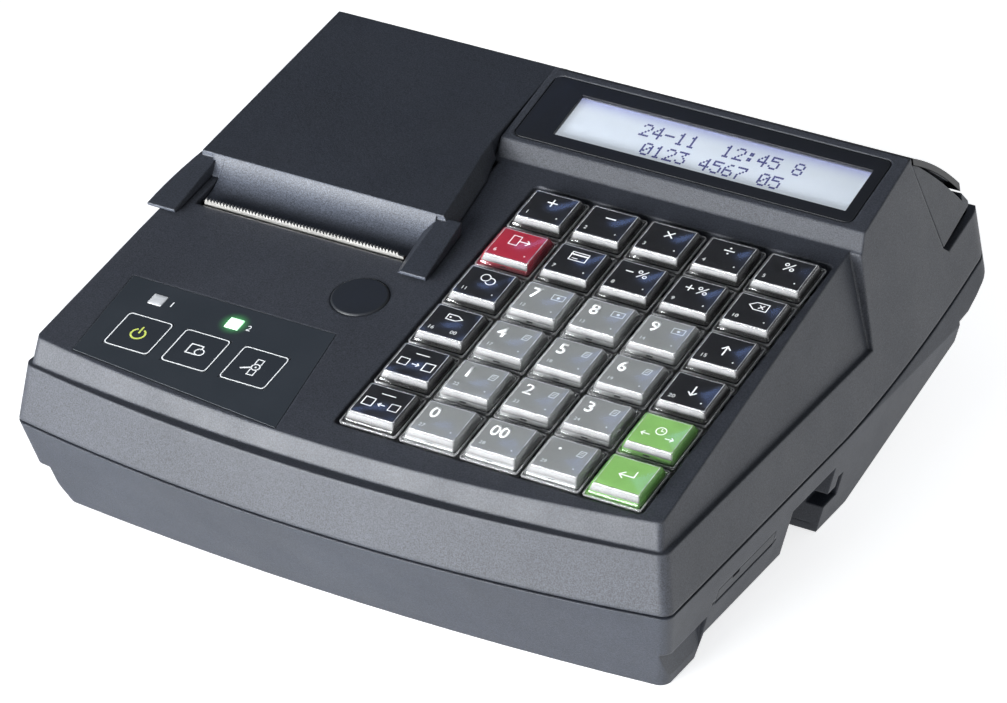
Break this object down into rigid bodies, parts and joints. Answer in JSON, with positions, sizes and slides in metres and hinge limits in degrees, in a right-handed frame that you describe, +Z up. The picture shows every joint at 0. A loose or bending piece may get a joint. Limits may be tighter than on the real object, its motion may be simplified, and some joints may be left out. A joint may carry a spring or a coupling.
{
  "type": "ticket register",
  "caption": "Portable wedge-shaped ticket register with a square-key pad, tilted display, hinged printer cover with tear bar, membrane key panel and rear customer display.",
  "frame": {"origin": "centre of the footprint, at the table surface under the pads", "axes": "+X to the operator's right, +Y to the rear (customer side), +Z up"},
  "size_m": [0.1923, 0.2065, 0.0856],
  "materials": {
    "shell_plastic": "fine textured anthracite",
    "base_plastic": "fine textured anthracite",
    "cover_plastic": "fine textured anthracite",
    "frame_plastic": "fine textured anthracite",
    "door_plastic": "fine textured anthracite",
    "flap_plastic": "fine textured anthracite",
    "window_smoked": "glossy smoked",
    "display_panel": "satin",
    "blade_steel": "brushed",
    "overlay_film": "fine matt film",
    "overlay_zone": "fine matt film",
    "lens_clear": "frosted clear",
    "plug_plastic": "smooth matt",
    "key_black": "clear glossy cap over a black insert",
    "key_red": "clear glossy cap over a red insert",
    "key_grey": "clear glossy cap over a grey insert",
    "key_green": "clear glossy cap over a green insert",
    "pad_rubber": "matt",
    "screw_steel": "zinc plated",
    "circuit_board": "solder mask",
    "dome_rubber": "matt silicone",
    "chassis_steel": "zinc plated sheet",
    "head_aluminium": "bead blasted",
    "platen_rubber": "ground rubber",
    "pinion_brass": "cut brass",
    "bucket_plastic": "moulded",
    "paper": "thermal paper",
    "battery_wrap": "shrink wrap",
    "port_plastic": "moulded"
  },
  "bodies": {
    "case": {"upper_shell": "shell_plastic", "lower_shell": "base_plastic", "rear_display_frame": "frame_plastic", "display_window": "window_smoked", "customer_window": "window_smoked", "display_module": "display_panel", "customer_module": "display_panel", "tear_bar": "blade_steel", "membrane_overlay": "overlay_film", "indicator_lenses": "lens_clear", "seal_plug": "plug_plastic", "rubber_feet": "pad_rubber", "case_screws": "screw_steel", "main_board": "circuit_board", "keyboard_board": "circuit_board", "dome_mat": "dome_rubber", "print_mechanism": "chassis_steel", "print_head": "head_aluminium", "paper_bucket": "bucket_plastic", "battery_pack": "battery_wrap", "port_block": "port_plastic"},
    "cover": {"printer_cover": "cover_plastic"},
    "platen": {"platen_roller": "platen_rubber"},
    "pinion": {"motor_pinion": "pinion_brass"},
    "roll": {"paper_roll": "paper"},
    "door": {"battery_door": "door_plastic"},
    "flap": {"card_cover": "flap_plastic"},
    "k_r1c1": {"key_r1c1": "key_black"},
    "k_r1c2": {"key_r1c2": "key_black"},
    "k_r1c3": {"key_r1c3": "key_black"},
    "k_r1c4": {"key_r1c4": "key_black"},
    "k_r1c5": {"key_r1c5": "key_black"},
    "k_r2c1": {"key_r2c1": "key_red"},
    "k_r2c2": {"key_r2c2": "key_black"},
    "k_r2c3": {"key_r2c3": "key_black"},
    "k_r2c4": {"key_r2c4": "key_black"},
    "k_r2c5": {"key_r2c5": "key_black"},
    "k_r3c1": {"key_r3c1": "key_black"},
    "k_r3c2": {"key_r3c2": "key_grey"},
    "k_r3c3": {"key_r3c3": "key_grey"},
    "k_r3c4": {"key_r3c4": "key_grey"},
    "k_r3c5": {"key_r3c5": "key_black"},
    "k_r4c1": {"key_r4c1": "key_black"},
    "k_r4c2": {"key_r4c2": "key_grey"},
    "k_r4c3": {"key_r4c3": "key_grey"},
    "k_r4c4": {"key_r4c4": "key_grey"},
    "k_r4c5": {"key_r4c5": "key_black"},
    "k_r5c1": {"key_r5c1": "key_black"},
    "k_r5c2": {"key_r5c2": "key_grey"},
    "k_r5c3": {"key_r5c3": "key_grey"},
    "k_r5c4": {"key_r5c4": "key_grey"},
    "k_r5c5": {"key_r5c5": "key_green"},
    "k_r6c1": {"key_r6c1": "key_black"},
    "k_r6c2": {"key_r6c2": "key_grey"},
    "k_r6c3": {"key_r6c3": "key_grey"},
    "k_r6c4": {"key_r6c4": "key_grey"},
    "k_r6c5": {"key_r6c5": "key_green"},
    "power_zone": {"power_key": "overlay_zone"},
    "feed_zone": {"feed_key": "overlay_zone"},
    "function_zone": {"function_key": "overlay_zone"}
  },
  "joints": [
    {"name": "cover_hinge", "type": "hinge", "parent": "case", "child": "cover", "pos_m": [-0.0557, 0.07362, 0.06825], "axis": [-1, 0, 0], "range_deg": [0, 85]},
    {"name": "roll_spin", "type": "hinge", "parent": "case", "child": "roll", "pos_m": [-0.052, 0.0225, 0.043], "axis": [1, 0, 0], "continuous": true},
    {"name": "platen_spin", "type": "hinge", "parent": "cover", "child": "platen", "pos_m": [-0.052, -0.0125, 0.057], "axis": [1, 0, 0], "continuous": true},
    {"name": "pinion_spin", "type": "hinge", "parent": "case", "child": "pinion", "pos_m": [-0.0196, -0.0125, 0.046], "axis": [1, 0, 0], "continuous": true},
    {"name": "battery_door_slide", "type": "slide", "parent": "case", "child": "door", "axis": [-1, 0, 0], "range_m": [0, 0.012]},
    {"name": "card_cover_hinge", "type": "hinge", "parent": "case", "child": "flap", "pos_m": [0.09253, -0.047, 0.01756], "axis": [0, 1, 0], "range_deg": [0, 90]},
    {"name": "key_r1c1_press", "type": "slide", "parent": "case", "child": "k_r1c1", "axis": [0, 0.18, -0.9837], "range_m": [0, 0.003], "stiffness_N_per_m": 200, "springref_m": -0.001},
    {"name": "key_r1c2_press", "type": "slide", "parent": "case", "child": "k_r1c2", "axis": [0, 0.18, -0.9837], "range_m": [0, 0.003], "stiffness_N_per_m": 200, "springref_m": -0.001},
    {"name": "key_r1c3_press", "type": "slide", "parent": "case", "child": "k_r1c3", "axis": [0, 0.18, -0.9837], "range_m": [0, 0.003], "stiffness_N_per_m": 200, "springref_m": -0.001},
    {"name": "key_r1c4_press", "type": "slide", "parent": "case", "child": "k_r1c4", "axis": [0, 0.18, -0.9837], "range_m": [0, 0.003], "stiffness_N_per_m": 200, "springref_m": -0.001},
    {"name": "key_r1c5_press", "type": "slide", "parent": "case", "child": "k_r1c5", "axis": [0, 0.18, -0.9837], "range_m": [0, 0.003], "stiffness_N_per_m": 200, "springref_m": -0.001},
    {"name": "key_r2c1_press", "type": "slide", "parent": "case", "child": "k_r2c1", "axis": [0, 0.18, -0.9837], "range_m": [0, 0.003], "stiffness_N_per_m": 200, "springref_m": -0.001},
    {"name": "key_r2c2_press", "type": "slide", "parent": "case", "child": "k_r2c2", "axis": [0, 0.18, -0.9837], "range_m": [0, 0.003], "stiffness_N_per_m": 200, "springref_m": -0.001},
    {"name": "key_r2c3_press", "type": "slide", "parent": "case", "child": "k_r2c3", "axis": [0, 0.18, -0.9837], "range_m": [0, 0.003], "stiffness_N_per_m": 200, "springref_m": -0.001},
    {"name": "key_r2c4_press", "type": "slide", "parent": "case", "child": "k_r2c4", "axis": [0, 0.18, -0.9837], "range_m": [0, 0.003], "stiffness_N_per_m": 200, "springref_m": -0.001},
    {"name": "key_r2c5_press", "type": "slide", "parent": "case", "child": "k_r2c5", "axis": [0, 0.18, -0.9837], "range_m": [0, 0.003], "stiffness_N_per_m": 200, "springref_m": -0.001},
    {"name": "key_r3c1_press", "type": "slide", "parent": "case", "child": "k_r3c1", "axis": [0, 0.18, -0.9837], "range_m": [0, 0.003], "stiffness_N_per_m": 200, "springref_m": -0.001},
    {"name": "key_r3c2_press", "type": "slide", "parent": "case", "child": "k_r3c2", "axis": [0, 0.18, -0.9837], "range_m": [0, 0.003], "stiffness_N_per_m": 200, "springref_m": -0.001},
    {"name": "key_r3c3_press", "type": "slide", "parent": "case", "child": "k_r3c3", "axis": [0, 0.18, -0.9837], "range_m": [0, 0.003], "stiffness_N_per_m": 200, "springref_m": -0.001},
    {"name": "key_r3c4_press", "type": "slide", "parent": "case", "child": "k_r3c4", "axis": [0, 0.18, -0.9837], "range_m": [0, 0.003], "stiffness_N_per_m": 200, "springref_m": -0.001},
    {"name": "key_r3c5_press", "type": "slide", "parent": "case", "child": "k_r3c5", "axis": [0, 0.18, -0.9837], "range_m": [0, 0.003], "stiffness_N_per_m": 200, "springref_m": -0.001},
    {"name": "key_r4c1_press", "type": "slide", "parent": "case", "child": "k_r4c1", "axis": [0, 0.18, -0.9837], "range_m": [0, 0.003], "stiffness_N_per_m": 200, "springref_m": -0.001},
    {"name": "key_r4c2_press", "type": "slide", "parent": "case", "child": "k_r4c2", "axis": [0, 0.18, -0.9837], "range_m": [0, 0.003], "stiffness_N_per_m": 200, "springref_m": -0.001},
    {"name": "key_r4c3_press", "type": "slide", "parent": "case", "child": "k_r4c3", "axis": [0, 0.18, -0.9837], "range_m": [0, 0.003], "stiffness_N_per_m": 200, "springref_m": -0.001},
    {"name": "key_r4c4_press", "type": "slide", "parent": "case", "child": "k_r4c4", "axis": [0, 0.18, -0.9837], "range_m": [0, 0.003], "stiffness_N_per_m": 200, "springref_m": -0.001},
    {"name": "key_r4c5_press", "type": "slide", "parent": "case", "child": "k_r4c5", "axis": [0, 0.18, -0.9837], "range_m": [0, 0.003], "stiffness_N_per_m": 200, "springref_m": -0.001},
    {"name": "key_r5c1_press", "type": "slide", "parent": "case", "child": "k_r5c1", "axis": [0, 0.18, -0.9837], "range_m": [0, 0.003], "stiffness_N_per_m": 200, "springref_m": -0.001},
    {"name": "key_r5c2_press", "type": "slide", "parent": "case", "child": "k_r5c2", "axis": [0, 0.18, -0.9837], "range_m": [0, 0.003], "stiffness_N_per_m": 200, "springref_m": -0.001},
    {"name": "key_r5c3_press", "type": "slide", "parent": "case", "child": "k_r5c3", "axis": [0, 0.18, -0.9837], "range_m": [0, 0.003], "stiffness_N_per_m": 200, "springref_m": -0.001},
    {"name": "key_r5c4_press", "type": "slide", "parent": "case", "child": "k_r5c4", "axis": [0, 0.18, -0.9837], "range_m": [0, 0.003], "stiffness_N_per_m": 200, "springref_m": -0.001},
    {"name": "key_r5c5_press", "type": "slide", "parent": "case", "child": "k_r5c5", "axis": [0, 0.18, -0.9837], "range_m": [0, 0.003], "stiffness_N_per_m": 200, "springref_m": -0.001},
    {"name": "key_r6c1_press", "type": "slide", "parent": "case", "child": "k_r6c1", "axis": [0, 0.18, -0.9837], "range_m": [0, 0.003], "stiffness_N_per_m": 200, "springref_m": -0.001},
    {"name": "key_r6c2_press", "type": "slide", "parent": "case", "child": "k_r6c2", "axis": [0, 0.18, -0.9837], "range_m": [0, 0.003], "stiffness_N_per_m": 200, "springref_m": -0.001},
    {"name": "key_r6c3_press", "type": "slide", "parent": "case", "child": "k_r6c3", "axis": [0, 0.18, -0.9837], "range_m": [0, 0.003], "stiffness_N_per_m": 200, "springref_m": -0.001},
    {"name": "key_r6c4_press", "type": "slide", "parent": "case", "child": "k_r6c4", "axis": [0, 0.18, -0.9837], "range_m": [0, 0.003], "stiffness_N_per_m": 200, "springref_m": -0.001},
    {"name": "key_r6c5_press", "type": "slide", "parent": "case", "child": "k_r6c5", "axis": [0, 0.18, -0.9837], "range_m": [0, 0.003], "stiffness_N_per_m": 200, "springref_m": -0.001},
    {"name": "power_key_press", "type": "slide", "parent": "case", "child": "power_zone", "axis": [0, 0.18, -0.9837], "range_m": [0, 0.0005], "stiffness_N_per_m": 400, "springref_m": -0.0005},
    {"name": "feed_key_press", "type": "slide", "parent": "case", "child": "feed_zone", "axis": [0, 0.18, -0.9837], "range_m": [0, 0.0005], "stiffness_N_per_m": 400, "springref_m": -0.0005},
    {"name": "function_key_press", "type": "slide", "parent": "case", "child": "function_zone", "axis": [0, 0.18, -0.9837], "range_m": [0, 0.0005], "stiffness_N_per_m": 400, "springref_m": -0.0005}
  ],
  "couplings": [
    {"joint": "platen_spin", "follows": "roll_spin", "ratio": 4.8},
    {"joint": "pinion_spin", "follows": "roll_spin", "ratio": -6.9333}
  ]
}
